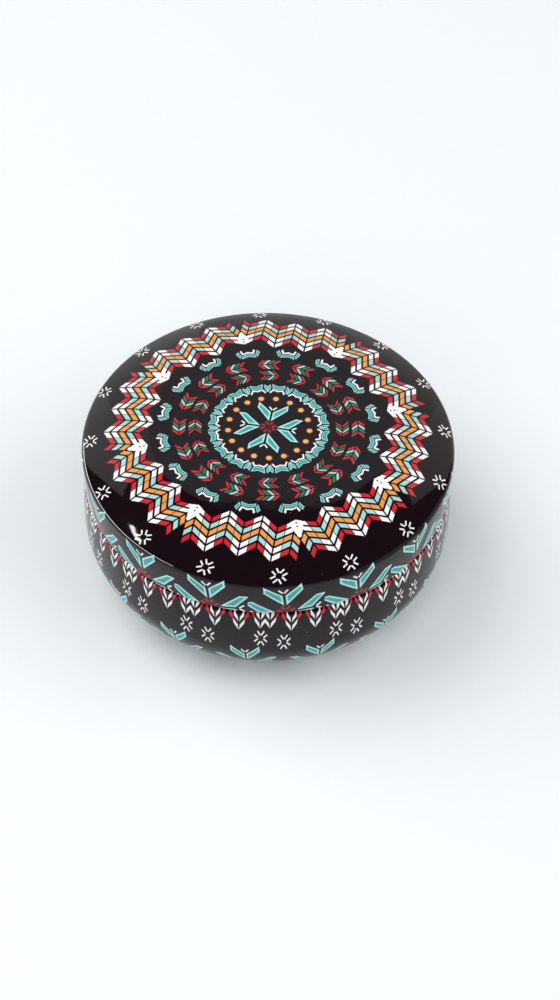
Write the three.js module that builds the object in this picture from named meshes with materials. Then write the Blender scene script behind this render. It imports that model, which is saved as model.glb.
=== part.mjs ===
// A round two-piece tin: a bulged tinplate body and a lid that slips down over its neck.
// Each piece is one drawn sheet with a curled edge. Millimetres, +Z up, origin under the middle of the base.
import * as THREE from 'three';

// Driving dimensions
const SHEET = 0.3;              // tinplate with its print and lacquer
const FACETS = 48;              // flats around the axis
const TIN_HEIGHT = 38.0;        // base to the middle of the closed lid
const RUNNING_GAP = 0.3;        // air between the closed lid and the body

// Body
const BELLY_RADIUS = 40.65;     // widest, outside
const BELLY_HEIGHT = 14.3;      // level of the widest ring
const LOWER_RADIUS = 14.3;      // sweep from the widest ring down to the base
const UPPER_RADIUS = 90.0;      // slow sweep from the widest ring up to the shoulder
const SHOULDER_RADIUS = 0.6;    // outside corner under the lid
const NECK_RADIUS = 38.4;       // outside of the neck that the lid slides over
const NECK_FILLET = 0.5;        // where the shoulder turns up into the neck
const MOUTH_HEIGHT = 34.6;      // top of the curled mouth
const MOUTH_CURL = 0.75;        // radius of the curl, at the middle of the sheet
const RECESS_RADIUS = 21.0;     // flat middle of the base
const RECESS_DEPTH = 0.6;       // height of that middle above the standing ring
const RECESS_BEND = 0.6;        // radius of both bends between them

// Lid
const LID_RADIUS = 40.0;        // outside of the skirt
const LID_HEIGHT = 12.5;        // lower edge of the skirt to the top
const PANEL_RADIUS = 24.7;      // flat middle of the top
const CROWN_RADIUS = 34.7;      // soft fall from the flat middle towards the corner
const CORNER_RADIUS = 1.4;      // tight corner above the skirt
const HEM_CURL = 0.45;          // radius of the curl inside the skirt's edge, at the middle of the sheet

const TIN_BLACK = 0x2a2028;
const HALF = SHEET / 2;

// A point of the sheet's middle line, with the unit normal on its left as the line is walked.
function flatPoint(r, z, normalZ) {
  return { r, z, normalR: 0, normalZ };
}

// An arc of the sheet's middle line. Angles are in degrees from the outward direction.
// Rising angles bend to the left, falling ones to the right.
function bend(centreR, centreZ, radius, from, to, steps) {
  const left = Math.sign(from - to);
  const points = [];
  for (let i = 0; i <= steps; i++) {
    const angle = THREE.MathUtils.degToRad(from + (to - from) * i / steps);
    const [c, s] = [Math.cos(angle), Math.sin(angle)];
    points.push({ r: centreR + radius * c, z: centreZ + radius * s, normalR: left * c, normalZ: left * s });
  }
  return points;
}

// Gives the middle line its thickness: out along its right side and back along its left.
function sheetOutline(line) {
  const side = (offset) => line.map((p) => new THREE.Vector2(p.r + offset * p.normalR, p.z + offset * p.normalZ));
  return [...side(-HALF), ...side(HALF).reverse()];
}

function turnedSheet(name, line, material) {
  const outline = sheetOutline(line);
  const geometry = new THREE.LatheGeometry(outline, FACETS);
  geometry.rotateX(Math.PI / 2);
  const mesh = new THREE.Mesh(geometry, material);
  mesh.name = name;
  return mesh;
}

// Body: recessed base, standing ring, belly, shoulder, neck and inward curl, walked from the axis up.
function tinBody() {
  const baseLevel = HALF;
  const bendAngle = THREE.MathUtils.radToDeg(Math.acos(1 - RECESS_DEPTH / (2 * RECESS_BEND)));
  const bendRun = RECESS_BEND * Math.sin(THREE.MathUtils.degToRad(bendAngle));
  const recess = [
    flatPoint(0, baseLevel + RECESS_DEPTH, 1),
    ...bend(RECESS_RADIUS, baseLevel + RECESS_DEPTH - RECESS_BEND, RECESS_BEND, 90, 90 - bendAngle, 2),
    ...bend(RECESS_RADIUS + 2 * bendRun, baseLevel + RECESS_BEND, RECESS_BEND, 270 - bendAngle, 270, 2),
  ];

  const lower = bend(BELLY_RADIUS - LOWER_RADIUS, BELLY_HEIGHT, LOWER_RADIUS - HALF, 270, 360, 9);

  const shoulderTop = TIN_HEIGHT - LID_HEIGHT - RUNNING_GAP;
  const shoulderCentreZ = shoulderTop - SHOULDER_RADIUS;
  const upperAngle = Math.asin((shoulderCentreZ - BELLY_HEIGHT) / (UPPER_RADIUS - SHOULDER_RADIUS));
  const upperTurn = THREE.MathUtils.radToDeg(upperAngle);
  const upper = bend(BELLY_RADIUS - UPPER_RADIUS, BELLY_HEIGHT, UPPER_RADIUS - HALF, 0, upperTurn, 2).slice(1);

  const shoulderCentreR = BELLY_RADIUS - UPPER_RADIUS + (UPPER_RADIUS - SHOULDER_RADIUS) * Math.cos(upperAngle);
  const shoulder = bend(shoulderCentreR, shoulderCentreZ, SHOULDER_RADIUS - HALF, upperTurn, 90, 3).slice(1);

  const neckMiddle = NECK_RADIUS - HALF;
  const fillet = bend(neckMiddle + NECK_FILLET, shoulderTop - HALF + NECK_FILLET, NECK_FILLET, 270, 180, 2);
  const curl = bend(neckMiddle - MOUTH_CURL, MOUTH_HEIGHT - HALF - MOUTH_CURL, MOUTH_CURL, 0, 270, 6);

  const lacquer = new THREE.MeshStandardMaterial({ color: TIN_BLACK, roughness: 0.22, metalness: 0.1 });
  return turnedSheet('tin_body', [...recess, ...lower, ...upper, ...shoulder, ...fillet, ...curl], lacquer);
}

// Lid: flat panel, soft crown, tight corner, skirt and inward hem, walked from the axis down.
function lid() {
  // The corner touches the crown from inside, so their centres lie CROWN_RADIUS - CORNER_RADIUS apart.
  const cornerCentreR = LID_RADIUS - CORNER_RADIUS;
  const centreDistance = CROWN_RADIUS - CORNER_RADIUS;
  const crownAngle = Math.acos((cornerCentreR - PANEL_RADIUS) / centreDistance);
  const cornerCentreZ = TIN_HEIGHT - CROWN_RADIUS + centreDistance * Math.sin(crownAngle);
  const crownEnd = THREE.MathUtils.radToDeg(crownAngle);
  const crown = bend(PANEL_RADIUS, TIN_HEIGHT - CROWN_RADIUS, CROWN_RADIUS - HALF, 90, crownEnd, 5);
  const corner = bend(cornerCentreR, cornerCentreZ, CORNER_RADIUS - HALF, crownEnd, 0, 4).slice(1);
  const hemCentreR = LID_RADIUS - HALF - HEM_CURL;
  const hemCentreZ = TIN_HEIGHT - LID_HEIGHT + HALF + HEM_CURL;
  const hem = bend(hemCentreR, hemCentreZ, HEM_CURL, 0, -270, 6);

  const lacquer = new THREE.MeshStandardMaterial({ color: TIN_BLACK, roughness: 0.2, metalness: 0.1 });
  return turnedSheet('lid', [flatPoint(0, TIN_HEIGHT - HALF, 1), ...crown, ...corner, ...hem], lacquer);
}

const tin = new THREE.Group();
tin.add(tinBody(), lid());

export default tin;
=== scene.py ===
# A round drum tin: a bulged body and a slip lid, drawn from printed tinplate.
# The folk-knit print is a shader pattern laid out in millimetres; the two sheets are spun shells.
import math
from collections import namedtuple

import bmesh
import bpy
from mathutils import Euler, Matrix, Vector


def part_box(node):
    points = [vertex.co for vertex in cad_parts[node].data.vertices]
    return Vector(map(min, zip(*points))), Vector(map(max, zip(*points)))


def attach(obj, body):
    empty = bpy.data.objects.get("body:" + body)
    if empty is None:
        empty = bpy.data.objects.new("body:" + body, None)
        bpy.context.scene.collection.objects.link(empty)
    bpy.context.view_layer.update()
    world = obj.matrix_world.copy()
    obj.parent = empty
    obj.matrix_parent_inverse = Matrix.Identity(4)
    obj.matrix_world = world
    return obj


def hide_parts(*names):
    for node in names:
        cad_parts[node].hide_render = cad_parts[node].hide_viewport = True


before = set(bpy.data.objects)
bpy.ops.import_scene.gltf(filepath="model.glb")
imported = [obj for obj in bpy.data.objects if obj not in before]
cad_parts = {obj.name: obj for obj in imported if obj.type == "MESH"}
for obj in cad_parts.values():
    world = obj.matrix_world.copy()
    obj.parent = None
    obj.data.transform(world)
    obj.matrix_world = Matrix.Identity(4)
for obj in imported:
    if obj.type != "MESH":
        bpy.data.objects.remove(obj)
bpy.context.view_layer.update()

MM = 0.001

# ---------------------------------------------------------------------------------------------
# Sizes, in millimetres. The outside comes from the frame; the rest is how such tins are drawn.
# ---------------------------------------------------------------------------------------------
body_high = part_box("tin_body")[1] / MM
lid_low, lid_high = (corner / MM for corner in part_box("lid"))

SHEET = 0.3                     # tinplate with its print and lacquer
TURN_STEPS = 192                # steps of every spun shell

BELLY_RADIUS = body_high.x      # widest, outside
MOUTH_HEIGHT = body_high.z      # top of the curled mouth
BELLY_HEIGHT = 14.3             # level of the widest ring
LOWER_RADIUS = 14.3             # sweep from the widest ring down to the base
UPPER_RADIUS = 90.0             # slow sweep up to the shoulder
SHOULDER_RADIUS = 0.6           # outside corner under the lid
RUNNING_GAP = 0.3               # air between the shoulder and the closed lid
NECK_RADIUS = 38.4              # outside of the neck
NECK_FILLET = 0.5               # where the shoulder turns up into the neck
MOUTH_CURL = 0.9                # outside radius of the curled mouth
RECESS_RADIUS = 21.0            # flat middle of the base
RECESS_DEPTH = 0.6              # its height above the standing ring
RECESS_BEND = 0.6               # both bends between them

LID_RADIUS = lid_high.x         # outside of the skirt
LID_TOP = lid_high.z
HEM_LEVEL = lid_low.z           # lower edge of the skirt
PANEL_RADIUS = 24.7             # flat middle of the top
CROWN_RADIUS = 34.7             # soft fall towards the corner
CORNER_RADIUS = 1.4             # tight corner above the skirt
HEM_CURL = 0.6                  # outside radius of the curl inside the skirt's edge

# ---------------------------------------------------------------------------------------------
# Colours, as sRGB hex
# ---------------------------------------------------------------------------------------------


def srgb(code):
    """A linear colour with alpha from an sRGB hex code."""
    parts = [int(code[i:i + 2], 16) / 255 for i in (1, 3, 5)]
    linear = [p / 12.92 if p <= 0.04045 else ((p + 0.055) / 1.055) ** 2.4 for p in parts]
    return (*linear, 1.0)


GROUND = srgb("#14080f")        # near-black aubergine
OUTLINE = srgb("#0a0508")
WHITE = srgb("#f6f3f2")
TEAL = srgb("#44a4a3")
TEAL_RIM = srgb("#b2e6e2")
MINT = srgb("#a9d4d0")
GREEN = srgb("#3a775a")
RED = srgb("#c92c34")
DARK_RED = srgb("#a8303c")
STAR_GROUND = srgb("#4a1219")
ORANGE = srgb("#e79b55")
DOT = srgb("#f6b878")
DOT_RING = srgb("#6e4018")
DOT_EYE = srgb("#d08a4c")
LINT = srgb("#8f8b92")
PALE_TIN = srgb("#cdc8bd")
DEEP_TIN = srgb("#a9a294")
CARD = srgb("#f0f3f5")
ROOM = srgb("#eef0f4")

PRINT_EDGE = 0.09               # mm over which an ink's edge fades
ROW_LINE = 0.22                 # half the dark line left between two rows of stitches, mm
SPINE_LINE = 0.18               # half the line along the peaks and valleys of the wide band, mm
STITCH_LINE = 0.08              # half the fine line between two stitches of a row, mm

# Grain of the finishes, in mm
LINT_SPACING = 2.6              # between places where a speck of lint may lie
LINT_RADIUS = 0.1               # largest speck
MOTTLE = 1.25                   # patches of fuller and thinner ink left by the rollers
RIPPLE = 2.857                  # waves of the stoved varnish
RIPPLE_DEPTH = 0.02
DIE_RING = 1 / 3                # rings left by the drawing die; real ones are finer and wouldn't show
DIE_RING_DEPTH = 0.01
BLOOM = 12.5                    # cloudy patches of the lacquer

FULL_INK, THIN_INK = 0.93, 1.06         # an ink's brightness where it is laid fullest and thinnest
POLISHED, DULL = 0.24, 0.38             # roughness of the bare inside at its shiniest and dullest


# ---------------------------------------------------------------------------------------------
# Shader building
# ---------------------------------------------------------------------------------------------


def add(tree, kind, inputs=(), out=0, **settings):
    """Adds one shader node with its settings, links or fills its inputs, and returns one output."""
    node = tree.nodes.new("ShaderNode" + kind)
    for name, value in settings.items():
        setattr(node, name, value)
    pairs = inputs.items() if isinstance(inputs, dict) else enumerate(inputs)
    for key, value in pairs:
        if isinstance(value, bpy.types.NodeSocket):
            tree.links.new(value, node.inputs[key])
        else:
            node.inputs[key].default_value = value
    return node.outputs[out] if node.outputs else None


Spot = namedtuple("Spot", "place turn radius height")


def spot_on_tin(tree):
    """Where a point of the tin lies: place, radius and height in mm, and its turn from the far
    side, where one lap is 1."""
    metres = add(tree, "TexCoord", out="Object")
    place = add(tree, "VectorMath", {"Vector": metres, "Scale": 1 / MM}, operation="SCALE")
    x, y, z = add(tree, "SeparateXYZ", [place]).node.outputs
    angle = add(tree, "Math", [x, y], operation="ARCTAN2")
    turn = add(tree, "Math", [angle, math.tau], operation="DIVIDE")
    flat = add(tree, "CombineXYZ", [x, y])
    radius = add(tree, "VectorMath", [flat], out="Value", operation="LENGTH")
    return Spot(place, turn, radius, z)


def repeat(tree, spot, count, first, reach):
    """Splits the lap into equal shares and gives the distance from each share's middle, -reach to
    reach. first is the middle of one share, in degrees clockwise from the far side."""
    share = add(tree, "Math", [spot.turn, count, 0.5 - first * count / 360], operation="MULTIPLY_ADD")
    inside = add(tree, "Math", [share], operation="FRACT")
    return add(tree, "Math", [inside, 2 * reach, -reach], operation="MULTIPLY_ADD")


# A ring of one motif: how many, the turn to one of them in degrees clockwise from the far side, the
# ring's radius and the level of the motifs' middles in mm, each motif's tilt anticlockwise in degrees,
# and its stretch along and across the ring.
Ring = namedtuple("Ring", "count first radius level tilt stretch")


def motif_place(tree, spot, across, ring):
    """The place (along, across, 1) in a motif repeated round a ring. The 1 lets one dot product give
    the distance to any straight edge."""
    along = repeat(tree, spot, ring.count, ring.first, math.pi * ring.radius / ring.count)
    place = add(tree, "CombineXYZ", [along, across, 1.0])
    middle, turned = (0, ring.level, 0), (0, 0, math.radians(ring.tilt))
    values = {"Vector": place, "Location": middle, "Rotation": turned, "Scale": (*ring.stretch, 1)}
    return add(tree, "Mapping", values, vector_type="TEXTURE")


def mirrored_place(tree, spot, count, first, radius):
    """The same for a motif drawn as one half, laid out by the ring's own radius."""
    along = repeat(tree, spot, count, first, math.pi * radius / count)
    aside = add(tree, "Math", [along], operation="ABSOLUTE")
    return add(tree, "CombineXYZ", [aside, spot.radius, 1.0])


def eight_fold(tree, place):
    """Folds a motif into one eighth, so that one petal or bar is drawn for all eight."""
    spread = add(tree, "VectorMath", [place], operation="ABSOLUTE")
    x, y, _ = add(tree, "SeparateXYZ", [spread]).node.outputs
    short = add(tree, "Math", [x, y], operation="MINIMUM")
    long = add(tree, "Math", [x, y], operation="MAXIMUM")
    return add(tree, "CombineXYZ", [short, long, 1.0])


def largest(tree, distances):
    """The largest of several distances, which is the distance outside all their edges together."""
    result = distances[0]
    for distance in distances[1:]:
        result = add(tree, "Math", [result, distance], operation="MAXIMUM")
    return result


def outside(tree, place, corners):
    """Millimetres outside a convex outline, negative inside. Corners run anticlockwise."""
    distances = []
    for (ax, ay), (bx, by) in zip(corners, corners[1:] + corners[:1]):
        length = math.hypot(bx - ax, by - ay)
        nx, ny = (by - ay) / length, (ax - bx) / length
        edge = (nx, ny, -nx * ax - ny * ay)
        distances.append(add(tree, "VectorMath", [place, edge], out="Value", operation="DOT_PRODUCT"))
    return largest(tree, distances)


def bar(start, end, width):
    """The corners of a straight bar."""
    (ax, ay), (bx, by) = start, end
    half = width / 2 / math.hypot(bx - ax, by - ay)
    dx, dy = (bx - ax) * half, (by - ay) * half
    return [(ax + dy, ay - dx), (bx + dy, by - dx), (bx - dy, by + dx), (ax - dy, ay + dx)]


# A Mix node has sockets with the same names for numbers, vectors and colours. These are the numbers of
# the ones for colours.
MIX_SHARE, MIX_UNDER, MIX_OVER = 0, 6, 7
MIX_RESULT = 2


def ink(tree, under, distance, colour, spread=0.0):
    """Lays an ink where distance is below spread, with the slightly soft edge of offset print."""
    steep = [distance, -1 / PRINT_EDGE, 0.5 + spread / PRINT_EDGE]
    cover = add(tree, "Math", steep, operation="MULTIPLY_ADD", use_clamp=True)
    layers = {MIX_SHARE: cover, MIX_UNDER: under, MIX_OVER: colour}
    return add(tree, "Mix", layers, out=MIX_RESULT, data_type="RGBA")


def knit_rows(tree, rows, colours, spacing, line):
    """Rows of knitting, from how many rows deep a point lies: their yarn, and the distance outside
    them. line is half the dark gap between two rows."""
    count = len(colours)
    part = add(tree, "Math", [rows, 1 / count], operation="MULTIPLY")
    yarn = add(tree, "ValToRGB", [part])
    ramp = yarn.node.color_ramp
    ramp.interpolation = "CONSTANT"
    ramp.elements[0].color = colours[0]
    ramp.elements.remove(ramp.elements[1])
    for i, colour in enumerate(colours[1:], 1):
        ramp.elements.new(i / count).color = colour
    from_line = add(tree, "Math", [rows, 0.5], operation="PINGPONG")
    between = add(tree, "Math", [from_line, -spacing, line], operation="MULTIPLY_ADD")
    from_middle = add(tree, "Math", [rows, count / 2], operation="SUBTRACT")
    to_edge = add(tree, "Math", [from_middle], operation="ABSOLUTE")
    ends = add(tree, "Math", [to_edge, spacing, -spacing * count / 2], operation="MULTIPLY_ADD")
    return yarn, largest(tree, [between, ends])


# ---------------------------------------------------------------------------------------------
# Motifs of the print
# ---------------------------------------------------------------------------------------------

SHARES = 16                     # repeats of the small motifs round the tin
PANELS = 8                      # straight panels of the wide band, and its knots

# One eighth of a rose, drawn at the size of the one in the middle of the lid, in mm from its heart
PETAL = [(0.22, 1.84), (3.28, 5.4), (3.2, 7.0), (0.26, 4.43)]
PETAL_RIM = 0.33                # pale edge round a petal
ROSE_STROKE = bar((0.12, 5.1), (0.78, 5.95), 0.32)
STAR_RADIUS = 1.6               # dark ground under the star
STAR_BAR = bar((0.22, 0.8), (0.7, 1.55), 0.38)


def rose(tree, under, place):
    """An eight-petalled knit rose: rimmed teal petals, small white strokes and a dark-red star."""
    fold = eight_fold(tree, place)
    petal = outside(tree, fold, PETAL)
    under = ink(tree, under, petal, TEAL_RIM)
    under = ink(tree, under, petal, TEAL, -PETAL_RIM)
    stroke = outside(tree, fold, ROSE_STROKE)
    under = ink(tree, under, stroke, WHITE)
    from_heart = add(tree, "VectorMath", [fold, (0, 0, 1)], out="Value", operation="DISTANCE")
    under = ink(tree, under, from_heart, STAR_GROUND, STAR_RADIUS)
    star = outside(tree, fold, STAR_BAR)
    return ink(tree, under, star, DARK_RED)


FLAKE_BAR = bar((0.13, 0.72), (0.84, 1.66), 0.34)


def flake(tree, under, place):
    """A snowflake of eight short white bars in four open pairs."""
    fold = eight_fold(tree, place)
    return ink(tree, under, outside(tree, fold, FLAKE_BAR), WHITE)


DOT_CIRCLE = Ring(17, first=-12.5, radius=8.7, level=8.7, tilt=0, stretch=(1, 1))
DOT_LAYERS = [(DOT_RING, 0.8), (DOT, 0.55), (DOT_EYE, 0.16)]        # each ink and its radius, mm


def dots(tree, under, spot):
    """Seventeen brown-ringed dots round the middle rose."""
    place = motif_place(tree, spot, spot.radius, DOT_CIRCLE)
    distance = add(tree, "VectorMath", [place, (0, 0, 1)], out="Value", operation="DISTANCE")
    for colour, size in DOT_LAYERS:
        under = ink(tree, under, distance, colour, size)
    return under


STITCH_RIM = 0.12               # pale edge round the small teal shapes


def rimmed(tree, under, place, shapes):
    """Small teal shapes with a pale edge."""
    for shape in shapes:
        distance = outside(tree, place, shape)
        under = ink(tree, under, distance, TEAL_RIM)
        under = ink(tree, under, distance, TEAL, -STITCH_RIM)
    return under


def plain(tree, under, place, shapes, colour):
    """Shapes of one flat colour."""
    for shape in shapes:
        under = ink(tree, under, outside(tree, place, shape), colour)
    return under


# Outlines below are drawn for one half of a mirrored motif, as (along the ring, radius) in mm.
BOW_HEART = [(0, 10.7), (0.33, 10.95), (0.68, 12.0), (0.56, 12.95), (0, 12.35)]
BOW_WING = [(1.04, 11.75), (2.3, 11.4), (2.3, 12.4), (0.9, 13.05)]
BOW_INNER = bar((0.5, 10.4), (1.2, 11.4), 0.36)
BOW_OUTER = bar((1.1, 11.35), (2.3, 10.95), 0.36)


def bow_ring(tree, under, spot):
    """A teal ring of hearts and bows, with a white zigzag inside it."""
    place = mirrored_place(tree, spot, SHARES, first=19.7, radius=11.0)
    under = plain(tree, under, place, [BOW_INNER, BOW_OUTER], WHITE)
    return rimmed(tree, under, place, [BOW_HEART, BOW_WING])


WING_MIDDLE = [(-0.3, 22.0), (1.68, 21.5), (1.4, 22.42), (-0.3, 22.8)]
WING_SIDE = [(2.02, 21.7), (2.66, 23.2), (2.06, 23.85), (1.6, 22.5)]
WING_CREST = [(-0.3, 23.12), (1.12, 22.76), (1.08, 23.1), (-0.3, 23.6)]
WING_TIP = [(1.28, 22.7), (1.66, 23.8), (1.32, 24.15), (0.96, 23.0)]


def wings(tree, under, spot):
    """Sixteen small spread wings, teal below and white above."""
    place = mirrored_place(tree, spot, SHARES, first=9.27, radius=22.8)
    under = rimmed(tree, under, place, [WING_MIDDLE, WING_SIDE])
    return plain(tree, under, place, [WING_CREST, WING_TIP], WHITE)


def chevron_ring(tree, under, spot, radius, first, heading):
    """Sixteen groups of four knit chevrons round a ring. heading is 1 where they point clockwise."""
    pitch = 0.055 * radius                  # one chevron to the next along the ring
    slope = 0.95                            # how far its arms sweep back for each mm out
    half_height = 1.33                      # the ring's middle to the tips of the arms
    gap = 0.14                              # half the dark line between chevrons and between arms
    colours = [RED, GREEN, MINT, RED]       # from the tail to the point
    across = add(tree, "Math", [spot.radius, radius], operation="SUBTRACT")
    along = repeat(tree, spot, SHARES, first, math.pi * radius / SHARES)
    rise = add(tree, "Math", [across], operation="ABSOLUTE")
    tail = (len(colours) - slope * half_height / pitch) / 2
    forward = add(tree, "Math", [along, heading / pitch, tail], operation="MULTIPLY_ADD")
    rows = add(tree, "Math", [rise, slope / pitch, forward], operation="MULTIPLY_ADD")
    yarn, rows_out = knit_rows(tree, rows, colours, pitch / math.hypot(1, slope), gap)
    outer = add(tree, "Math", [rise, half_height], operation="SUBTRACT")
    inner = add(tree, "Math", [gap, rise], operation="SUBTRACT")
    return ink(tree, under, largest(tree, [rows_out, outer, inner]), yarn)


KNOT_ANGLE = 31.4               # degrees clockwise from the far side to one knot of the wide band


def zigzag_band(tree, under, spot):
    """The wide band: eight straight panels of five zigzag rows, two stitches to each slope, with
    their colours in reverse order on the half of each slope next to a valley."""
    peak = 34.85                            # the lid's middle to the outer peaks
    valley_run = 3.385                      # peak to valley along a panel
    drop = 0.76                             # how far the zigzag falls for each mm along
    row = 1.66                              # depth of one row
    reach = 11.85                           # half a panel's length
    colours = [WHITE, WHITE, ORANGE, MINT, RED]
    middle_row = len(colours) / 2
    panel_middle = KNOT_ANGLE + 180 / PANELS
    swing = repeat(tree, spot, PANELS, panel_middle, math.pi / PANELS)
    sine = add(tree, "Math", [swing], operation="SINE")
    cosine = add(tree, "Math", [swing], operation="COSINE")
    along = add(tree, "Math", [spot.radius, sine], operation="MULTIPLY")
    outward = add(tree, "Math", [spot.radius, cosine], operation="MULTIPLY")
    from_peak = add(tree, "Math", [along, valley_run], operation="PINGPONG")
    edge = add(tree, "Math", [from_peak, -drop, peak], operation="MULTIPLY_ADD")
    depth = add(tree, "Math", [edge, outward], operation="SUBTRACT")
    from_middle = add(tree, "Math", [depth, 1 / row, -middle_row], operation="MULTIPLY_ADD")
    by_valley = add(tree, "Math", [from_peak, valley_run / 2], operation="GREATER_THAN")
    order = add(tree, "Math", [by_valley, -2, 1], operation="MULTIPLY_ADD")
    rows = add(tree, "Math", [from_middle, order, middle_row], operation="MULTIPLY_ADD")
    yarn, rows_out = knit_rows(tree, rows, colours, row / math.hypot(1, drop), ROW_LINE)

    from_spine = add(tree, "Math", [along, valley_run / 2], operation="PINGPONG")
    spine = add(tree, "Math", [SPINE_LINE, from_spine], operation="SUBTRACT")
    stitch = add(tree, "Math", [from_spine, valley_run / 2 - STITCH_LINE], operation="SUBTRACT")
    aside = add(tree, "Math", [along], operation="ABSOLUTE")
    cut = add(tree, "Math", [aside, reach], operation="SUBTRACT")
    return ink(tree, under, largest(tree, [rows_out, spine, stitch, cut]), yarn)


KNOT_BODY = [(-0.3, 25.95), (1.25, 26.55), (1.2, 28.6), (0, 29.35)]
KNOT_STEM = [(-0.3, 28.9), (0.5, 28.9), (0.42, 30.1), (0, 30.45)]
KNOT_EYES = [26.85, 27.75]      # radius on the lid of each eye's middle
KNOT_EYE_SIZE = 0.2


def knots(tree, under, spot):
    """Eight white knots where the panels of the wide band meet, each with two dark eyes."""
    place = mirrored_place(tree, spot, PANELS, KNOT_ANGLE, radius=28.0)
    under = plain(tree, under, place, [KNOT_BODY, KNOT_STEM], WHITE)
    for level in KNOT_EYES:
        distance = add(tree, "VectorMath", [place, (0, level, 1)], out="Value", operation="DISTANCE")
        under = ink(tree, under, distance, OUTLINE, KNOT_EYE_SIZE)
    return under


# On the lid's edge and skirt a level is the height less the radius. It falls steadily out over the
# crown and down the skirt, so that a motif runs over the corner unbroken.
RIM_FLAKES = Ring(SHARES, first=17.8, radius=38.1, level=-2.7, tilt=12, stretch=(0.95, 1.2))
SKIRT_ROSES = Ring(SHARES, first=15.5, radius=LID_RADIUS, level=-14.0, tilt=-6.4, stretch=(1.22, 1.22))


def lid_print(tree, spot):
    """The whole print of the lid, laid ink by ink from the middle out and down the skirt."""
    plan = add(tree, "VectorMath", [spot.place, (1, 1, 0), (0, 0, 1)], operation="MULTIPLY_ADD")
    off_centre, tilt = (-0.1, 0.2, 0), (0, 0, math.radians(-8.4))
    middle = {"Vector": plan, "Location": off_centre, "Rotation": tilt}
    colour = rose(tree, GROUND, add(tree, "Mapping", middle, vector_type="TEXTURE"))
    colour = dots(tree, colour, spot)
    colour = bow_ring(tree, colour, spot)
    colour = chevron_ring(tree, colour, spot, radius=15.7, first=21.5, heading=1)
    colour = chevron_ring(tree, colour, spot, radius=19.1, first=21.0, heading=-1)
    colour = wings(tree, colour, spot)
    colour = zigzag_band(tree, colour, spot)
    colour = knots(tree, colour, spot)

    over_rim = add(tree, "Math", [spot.height, spot.radius], operation="SUBTRACT")
    colour = flake(tree, colour, motif_place(tree, spot, over_rim, RIM_FLAKES))
    return rose(tree, colour, motif_place(tree, spot, over_rim, SKIRT_ROSES))


# The knit border under the lid, drawn for one half of a V: (from its point, up) in mm
BORDER_LOW = [(0.06, 0.0), (1.1, 2.0), (1.28, 3.4), (0.25, 1.6)]
BORDER_HIGH = [(0.12, 2.6), (1.0, 4.2), (1.1, 5.6), (0.25, 4.0)]
BORDER_RED = [(1.2, 2.9), (2.05, 4.4), (2.15, 5.9), (1.3, 4.5)]


def border(tree, under, spot, level):
    """White knit Vs with red between them, in a band under the shoulder. Each share has four: one
    near each end, and two close together in the middle, a millimetre higher."""
    tip_level = 5.8                         # the outer Vs' points above the widest ring
    wide_tip, narrow_tip = 5.45, 1.0        # the share's middle to the points of each pair
    along = repeat(tree, spot, SHARES, 21.6, math.pi * BELLY_RADIUS / SHARES)
    aside = add(tree, "Math", [along], operation="ABSOLUTE")
    from_wide = add(tree, "Math", [aside, wide_tip], operation="SUBTRACT")
    from_narrow = add(tree, "Math", [aside, narrow_tip], operation="SUBTRACT")
    wide = add(tree, "Math", [from_wide], operation="ABSOLUTE")
    narrow = add(tree, "Math", [from_narrow], operation="ABSOLUTE")
    nearest = add(tree, "Math", [wide, narrow], operation="MINIMUM")
    raised = add(tree, "Math", [narrow, wide], operation="LESS_THAN")
    lowered = add(tree, "Math", [level, -tip_level], operation="ADD")
    up = add(tree, "Math", [lowered, raised], operation="SUBTRACT")
    place = add(tree, "CombineXYZ", [nearest, up, 1.0])
    under = plain(tree, under, place, [BORDER_LOW, BORDER_HIGH], WHITE)
    return plain(tree, under, place, [BORDER_RED], RED)


def body_level(tree, spot):
    """Height above the widest ring. Below it, the way down along the sheet, counted negative, so that
    the print runs on underneath."""
    up = add(tree, "Math", [spot.height, BELLY_HEIGHT], operation="SUBTRACT")
    above = add(tree, "Math", [up, 0.0], operation="MAXIMUM")
    below = add(tree, "Math", [up, 0.0], operation="MINIMUM")
    out = add(tree, "Math", [spot.radius, BELLY_RADIUS - LOWER_RADIUS], operation="SUBTRACT")
    bend_angle = add(tree, "Math", [below, out], operation="ARCTAN2")
    return add(tree, "Math", [bend_angle, LOWER_RADIUS, above], operation="MULTIPLY_ADD")


# On the body a level is what body_level gives.
LOW_FLAKES = Ring(SHARES, first=173.5, radius=BELLY_RADIUS, level=2.1, tilt=0, stretch=(0.8, 1.4))
HIGH_FLAKES = LOW_FLAKES._replace(first=180.3, level=3.5)
BELLY_ROSES = LOW_FLAKES._replace(first=184.4, level=-7.8, tilt=-3, stretch=(0.95, 1.18))


def body_print(tree, spot):
    """The whole print of the body: knit border, two flakes to a share, and roses that run
    underneath."""
    level = body_level(tree, spot)
    colour = border(tree, GROUND, spot, level)
    for flakes in (LOW_FLAKES, HIGH_FLAKES):
        colour = flake(tree, colour, motif_place(tree, spot, level, flakes))
    return rose(tree, colour, motif_place(tree, spot, level, BELLY_ROSES))


# ---------------------------------------------------------------------------------------------
# Materials
# ---------------------------------------------------------------------------------------------


def new_material(name):
    """A material with an empty node tree."""
    material = bpy.data.materials.new(name)
    material.use_nodes = True
    material.node_tree.nodes.clear()
    return material


def lint(tree, under, spot):
    """Fine pale specks of lint on the varnish. Each place draws a number from 0 to 1, and more than
    half of them have no speck, because that gives a radius below zero."""
    cell = {"Vector": spot.place, "Scale": 1 / LINT_SPACING}
    away, draw = add(tree, "TexVoronoi", cell).node.outputs[:2]
    speck = add(tree, "Math", [draw, 0.45, -0.25], operation="MULTIPLY_ADD")
    size = add(tree, "Math", [speck, LINT_RADIUS], operation="MINIMUM")
    distance = add(tree, "Math", [away, LINT_SPACING], operation="MULTIPLY")
    beyond = add(tree, "Math", [distance, size], operation="SUBTRACT")
    return ink(tree, under, beyond, LINT)


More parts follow.
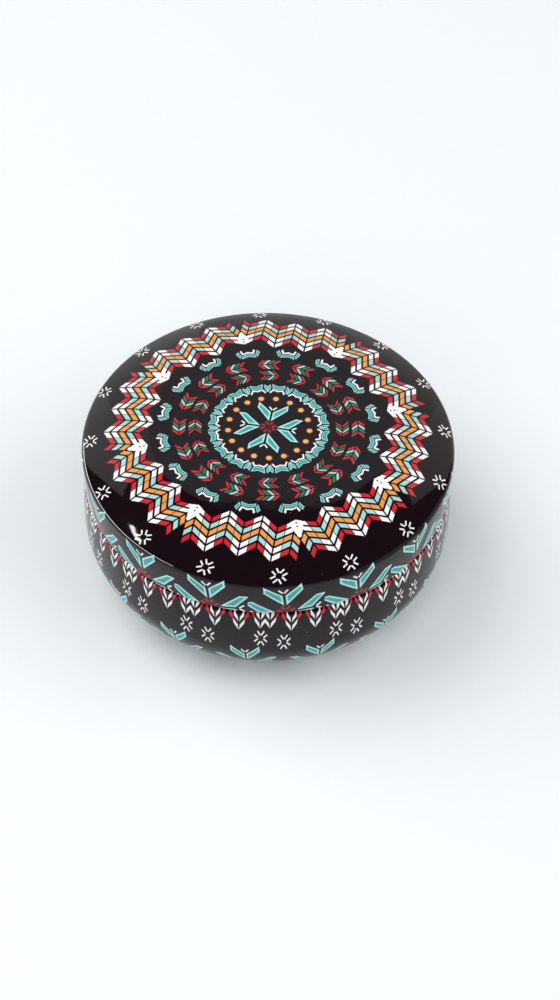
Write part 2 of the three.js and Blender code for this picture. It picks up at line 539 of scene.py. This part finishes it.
def printed_tinplate(name, draw):
    """Offset-printed tinplate under clear stoving varnish: flat opaque inks, laid a little unevenly,
    below a glossy, faintly rippled coat that mirrors the room and lightens the dark ground where it
    faces something bright."""
    material = new_material(name)
    tree = material.node_tree
    spot = spot_on_tin(tree)
    mottle = {"Vector": spot.place, "Scale": 1 / MOTTLE, "Detail": 4.0}
    rollers = add(tree, "TexNoise", mottle, out="Fac")
    density = add(tree, "MapRange", [rollers, 0.3, 0.7, FULL_INK, THIN_INK])
    printed = add(tree, "VectorMath", {"Vector": draw(tree, spot), "Scale": density}, operation="SCALE")
    waves = {"Vector": spot.place, "Scale": 1 / RIPPLE, "Detail": 2.0}
    ripple = add(tree, "TexNoise", waves, out="Fac")
    relief = {"Height": ripple, "Strength": 0.35, "Distance": RIPPLE_DEPTH * MM}
    wavy = add(tree, "Bump", relief, out="Normal")
    varnish = {
        "Base Color": lint(tree, printed, spot),
        "Roughness": 0.5,
        "Specular IOR Level": 0.0,
        "Normal": wavy,
        "Coat Weight": 1.0,
        "Coat Roughness": 0.05,
        "Coat IOR": 1.31,
        "Coat Normal": wavy,
    }
    surface = add(tree, "BsdfPrincipled", varnish)
    add(tree, "OutputMaterial", {"Surface": surface})
    return material


def drawn_tinplate():
    """Bare lacquered tinplate inside: a warm grey metal with fine rings left by the drawing die."""
    material = new_material("lacquered_tinplate")
    tree = material.node_tree
    spot = spot_on_tin(tree)
    ring_place = add(tree, "CombineXYZ", [spot.radius, spot.height, 0.0])
    grooves = {"Vector": ring_place, "Scale": 1 / DIE_RING, "Detail": 3.0}
    rings = add(tree, "TexNoise", grooves, out="Fac")
    clouds = {"Vector": spot.place, "Scale": 1 / BLOOM, "Detail": 3.0}
    bloom = add(tree, "TexNoise", clouds, out="Fac")
    mixed = add(tree, "Math", [rings, 0.5, bloom], operation="MULTIPLY_ADD")
    low, high = 0.4, 1.1                    # the mixed noise's usual range
    tone = add(tree, "MapRange", [mixed, low, high, 0.0, 1.0])
    shades = {MIX_SHARE: tone, MIX_UNDER: DEEP_TIN, MIX_OVER: PALE_TIN}
    colour = add(tree, "Mix", shades, out=MIX_RESULT, data_type="RGBA")
    rough = add(tree, "MapRange", [mixed, low, high, POLISHED, DULL])
    relief = {"Height": rings, "Strength": 0.4, "Distance": DIE_RING_DEPTH * MM}
    grooved = add(tree, "Bump", relief, out="Normal")
    metal = {"Base Color": colour, "Metallic": 1.0, "Roughness": rough, "Normal": grooved}
    surface = add(tree, "BsdfPrincipled", metal)
    add(tree, "OutputMaterial", {"Surface": surface})
    return material


# ---------------------------------------------------------------------------------------------
# The two sheets
# ---------------------------------------------------------------------------------------------


def bend(centre_r, centre_z, radius, start, stop, steps):
    """An arc of the sheet's outside line, as (radius, height), angles in degrees from outward."""
    turned = [math.radians(start + (stop - start) * i / steps) for i in range(steps + 1)]
    return [(centre_r + radius * math.cos(a), centre_z + radius * math.sin(a)) for a in turned]


def spun_sheet(name, line, body, outside_material, inside_material):
    """Spins the outside line of a sheet into a shell and gives it its thickness inwards."""
    mesh_edit = bmesh.new()
    points = [mesh_edit.verts.new((r * MM, 0, z * MM)) for r, z in line]
    edges = [mesh_edit.edges.new(pair) for pair in zip(points, points[1:])]
    bmesh.ops.spin(
        mesh_edit,
        geom=points + edges,
        cent=(0, 0, 0),
        axis=(0, 0, 1),
        angle=math.tau,
        steps=TURN_STEPS,
        use_merge=True,
    )
    bmesh.ops.remove_doubles(mesh_edit, verts=mesh_edit.verts, dist=0.001 * MM)
    bmesh.ops.recalc_face_normals(mesh_edit, faces=mesh_edit.faces)
    for face in mesh_edit.faces:
        face.smooth = True
    mesh = bpy.data.meshes.new(name)
    mesh_edit.to_mesh(mesh)
    mesh_edit.free()
    mesh.materials.append(outside_material)
    mesh.materials.append(inside_material)
    piece = bpy.data.objects.new(name, mesh)
    bpy.context.scene.collection.objects.link(piece)
    wall = piece.modifiers.new("sheet", "SOLIDIFY")
    wall.thickness = SHEET * MM
    wall.offset = -1
    wall.use_even_offset = True
    wall.material_offset = 1
    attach(piece, body)
    return piece


def body_line():
    """The body's outside line, from the axis out over the base and up to the curled mouth."""
    shoulder_top = HEM_LEVEL - RUNNING_GAP
    bend_angle = math.acos(1 - RECESS_DEPTH / (2 * RECESS_BEND))
    run = RECESS_BEND * math.sin(bend_angle)
    turn = math.degrees(bend_angle)
    inner_bend, outer_bend = RECESS_BEND - SHEET / 2, RECESS_BEND + SHEET / 2
    recess_top = SHEET / 2 + RECESS_DEPTH
    recess = [(0, RECESS_DEPTH)]
    recess += bend(RECESS_RADIUS, recess_top - RECESS_BEND, inner_bend, 90, 90 - turn, 4)
    recess += bend(RECESS_RADIUS + 2 * run, SHEET / 2 + RECESS_BEND, outer_bend, 270 - turn, 270, 4)

    lower = bend(BELLY_RADIUS - LOWER_RADIUS, BELLY_HEIGHT, LOWER_RADIUS, 270, 360, 32)

    shoulder_z = shoulder_top - SHOULDER_RADIUS
    upper_angle = math.asin((shoulder_z - BELLY_HEIGHT) / (UPPER_RADIUS - SHOULDER_RADIUS))
    upper_turn = math.degrees(upper_angle)
    upper = bend(BELLY_RADIUS - UPPER_RADIUS, BELLY_HEIGHT, UPPER_RADIUS, 0, upper_turn, 12)[1:]

    shoulder_r = BELLY_RADIUS - UPPER_RADIUS + (UPPER_RADIUS - SHOULDER_RADIUS) * math.cos(upper_angle)
    shoulder = bend(shoulder_r, shoulder_z, SHOULDER_RADIUS, upper_turn, 90, 6)[1:]

    fillet_outside = NECK_FILLET - SHEET / 2
    fillet_r = NECK_RADIUS - SHEET / 2 + NECK_FILLET
    fillet_z = shoulder_top - SHEET / 2 + NECK_FILLET
    fillet = bend(fillet_r, fillet_z, fillet_outside, 270, 180, 5)
    curl = bend(NECK_RADIUS - MOUTH_CURL, MOUTH_HEIGHT - MOUTH_CURL, MOUTH_CURL, 0, 270, 18)
    return recess + lower + upper + shoulder + fillet + curl


def lid_line():
    """The lid's outside line, from the axis out over the panel and down to the curled hem."""
    corner_r = LID_RADIUS - CORNER_RADIUS
    apart = CROWN_RADIUS - CORNER_RADIUS
    crown_angle = math.acos((corner_r - PANEL_RADIUS) / apart)
    corner_z = LID_TOP - CROWN_RADIUS + apart * math.sin(crown_angle)
    crown_end = math.degrees(crown_angle)
    crown = bend(PANEL_RADIUS, LID_TOP - CROWN_RADIUS, CROWN_RADIUS, 90, crown_end, 18)
    corner = bend(corner_r, corner_z, CORNER_RADIUS, crown_end, 0, 12)[1:]
    hem = bend(LID_RADIUS - HEM_CURL, HEM_LEVEL + HEM_CURL, HEM_CURL, 0, -270, 18)
    return [(0, LID_TOP)] + crown + corner + hem


# ---------------------------------------------------------------------------------------------
# Camera, floor and light
# ---------------------------------------------------------------------------------------------


CAMERA_ELEVATION = 49.26        # degrees above the table
CAMERA_ROLL = 1.81              # degrees
CAMERA_AWAY = 346.5             # mm along the view to the sighted point
LENS_SHARE = 1.6242             # focal length over the sensor's height
SIGHT = Vector((0, 0, LID_TOP - 0.7))           # a point just under the middle of the lid, mm
SIGHT_IN_VIEW = Vector((-2.4, 14.94, -CAMERA_AWAY))     # where the camera sees it: right, up, back, mm


def make_camera():
    """Looks down on the tin from the near side with a long lens."""
    looking_down = Euler((math.radians(90 - CAMERA_ELEVATION), 0, 0)).to_matrix()
    turn = looking_down @ Matrix.Rotation(math.radians(CAMERA_ROLL), 3, "Z")
    data = bpy.data.cameras.new("camera")
    data.sensor_fit = "VERTICAL"
    data.sensor_height = 36
    data.lens = LENS_SHARE * data.sensor_height
    data.clip_start = 0.01
    camera = bpy.data.objects.new("camera", data)
    place = (SIGHT - turn @ SIGHT_IN_VIEW) * MM
    camera.matrix_world = Matrix.Translation(place) @ turn.to_4x4()
    bpy.context.scene.collection.objects.link(camera)
    bpy.context.scene.camera = camera


TABLE_RADIUS = 6.0              # metres


def make_floor():
    """A plain table of matt white card, which bounces soft light and never glares."""
    mesh_edit = bmesh.new()
    bmesh.ops.create_circle(mesh_edit, cap_ends=True, radius=TABLE_RADIUS, segments=64)
    mesh = bpy.data.meshes.new("table")
    mesh_edit.to_mesh(mesh)
    mesh_edit.free()
    material = new_material("matt_white_card")
    tree = material.node_tree
    card = {"Base Color": CARD, "Roughness": 0.9}
    add(tree, "OutputMaterial", {"Surface": add(tree, "BsdfPrincipled", card)})
    mesh.materials.append(material)
    floor = bpy.data.objects.new("table", mesh)
    bpy.context.scene.collection.objects.link(floor)


SCREEN_AWAY = 1.08              # metres from the tin to each leaf of the folding screen
SCREEN_TURN = 22                # degrees between its leaves
SCREEN_HEIGHT = 1.35            # metres, standing on the table
SCREEN_POWER = [2.6, 1.9, 1.3, 1.4, 1.8]        # watts, from the left leaf to the right

# Place, width and height in metres, and power in watts. The first three show in the varnish and light
# nothing else: low windows for a bright line along the rim, and a lamp for one glint.
SoftBox = namedtuple("SoftBox", "name place width height power")
MIRRORED_BOXES = [
    SoftBox("left_window", (-1.1, -0.05, 0.2), 1.9, 0.14, 32),
    SoftBox("lamp", (-0.79, 0.14, 1.14), 0.2, 0.045, 1.3),
    SoftBox("right_window", (1.2, -0.3, 0.45), 1.6, 0.2, 2),
]
LIGHTING_BOXES = [
    SoftBox("left_box", (-1.0, 0.3, 1.2), 1.4, 1.4, 15.3),
    SoftBox("right_box", (1.3, -0.2, 1.1), 1.8, 1.4, 14),
    SoftBox("front_box", (-0.3, -1.3, 1.2), 1.8, 1.2, 13.2),
    SoftBox("top_box", (0, 0.2, 1.7), 1.8, 1.8, 7),
]
ROOM_STRENGTH = 0.1


def add_soft_box(box, aim, mirrored):
    """A rectangular soft light. A mirrored one shows in the varnish; an unmirrored one only lights."""
    data = bpy.data.lights.new(box.name, "AREA")
    data.shape = "RECTANGLE"
    data.size = box.width
    data.size_y = box.height
    data.energy = box.power
    light = bpy.data.objects.new(box.name, data)
    light.location = box.place
    light.rotation_euler = (Vector(aim) - Vector(box.place)).to_track_quat("-Z", "Y").to_euler()
    light.visible_glossy = mirrored
    light.visible_diffuse = not mirrored
    bpy.context.scene.collection.objects.link(light)


def make_light():
    """A dim folding screen behind the tin, which its lid mirrors, the small mirrored lights, and big
    soft boxes all round that only light."""
    width = 2 * SCREEN_AWAY * math.tan(math.radians(SCREEN_TURN / 2))
    middle = SCREEN_HEIGHT / 2
    for i, power in enumerate(SCREEN_POWER):
        turn = math.radians(SCREEN_TURN * (i - len(SCREEN_POWER) // 2))
        place = (SCREEN_AWAY * math.sin(turn), SCREEN_AWAY * math.cos(turn), middle)
        leaf = SoftBox("screen", place, width, SCREEN_HEIGHT, power)
        add_soft_box(leaf, (0, 0, middle), mirrored=True)
    for box in MIRRORED_BOXES:
        add_soft_box(box, (0, 0, 0), mirrored=True)
    for box in LIGHTING_BOXES:
        add_soft_box(box, (0, 0, 0), mirrored=False)
    world = bpy.data.worlds.new("room")
    world.use_nodes = True
    background = world.node_tree.nodes["Background"]
    background.inputs["Color"].default_value = ROOM
    background.inputs["Strength"].default_value = ROOM_STRENGTH
    bpy.context.scene.world = world
    bpy.context.scene.view_settings.view_transform = "Standard"


make_camera()
make_floor()
make_light()

inside = drawn_tinplate()
body_outside = printed_tinplate("printed_tinplate_body", body_print)
body = spun_sheet("tin_body_shell", body_line(), "body", body_outside, inside)
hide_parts("tin_body")
lid_outside = printed_tinplate("printed_tinplate_lid", lid_print)
lid = spun_sheet("lid_shell", lid_line(), "lid", lid_outside, inside)
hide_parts("lid")
